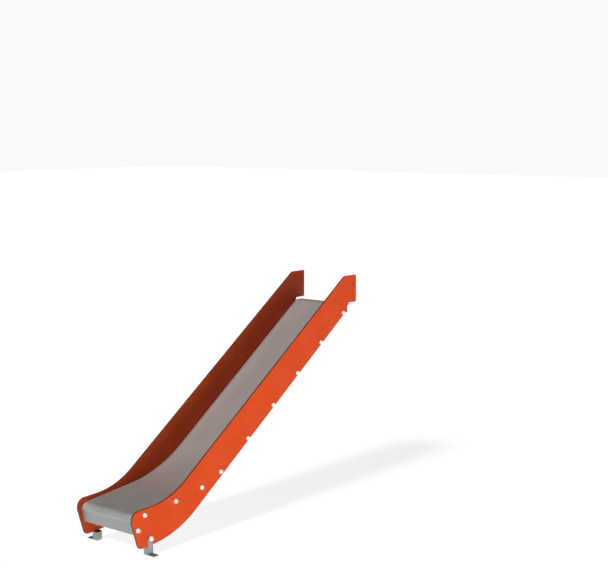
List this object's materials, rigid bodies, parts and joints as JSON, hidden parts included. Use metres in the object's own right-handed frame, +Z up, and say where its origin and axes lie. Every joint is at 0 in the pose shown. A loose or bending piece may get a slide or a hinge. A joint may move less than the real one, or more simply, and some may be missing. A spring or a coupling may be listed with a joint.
{
  "type": "straight playground slide",
  "caption": "Straight slide with laminate side panels and a stainless bed, run-out and rounded exit, bolted to a platform and standing on feet at the exit.",
  "frame": {"origin": "on the ground, midway between the side panels, at the middle of the slide's length on the ground", "axes": "+Y uphill to the platform, +X to the left hand of a child who slides down, +Z up"},
  "size_m": [0.671, 2.516, 1.721],
  "materials": {
    "panel": "satin orange-red laminate with a dark core at its cut edges",
    "stainless": "smooth cold-rolled stainless, faintly brushed along the slide",
    "galvanised": "dull zinc",
    "white_plastic": "glossy",
    "black_plastic": "matt"
  },
  "bodies": {
    "root": {"side_panel_left": "panel", "side_panel_right": "panel", "bed_sheet": "stainless", "edge_strip_left": "stainless", "edge_strip_right": "stainless", "rib_1": "galvanised", "rib_2": "galvanised", "rib_3": "galvanised", "rib_4": "galvanised", "rib_5": "galvanised", "rib_6": "galvanised", "platform_bracket": "galvanised", "foot_left": "galvanised", "foot_right": "galvanised", "packer_left": "black_plastic", "packer_right": "black_plastic", "bolts_left": "galvanised", "bolts_right": "galvanised", "washers_left": "galvanised", "washers_right": "galvanised", "nuts_left": "galvanised", "nuts_right": "galvanised", "cap_cups_left": "white_plastic", "cap_cups_right": "white_plastic", "cap_lids_left": "white_plastic", "cap_lids_right": "white_plastic", "foot_bolts": "galvanised", "foot_washers": "galvanised", "foot_nuts": "galvanised", "foot_cap_cups": "white_plastic", "foot_cap_lids": "white_plastic"}
  },
  "joints": []
}
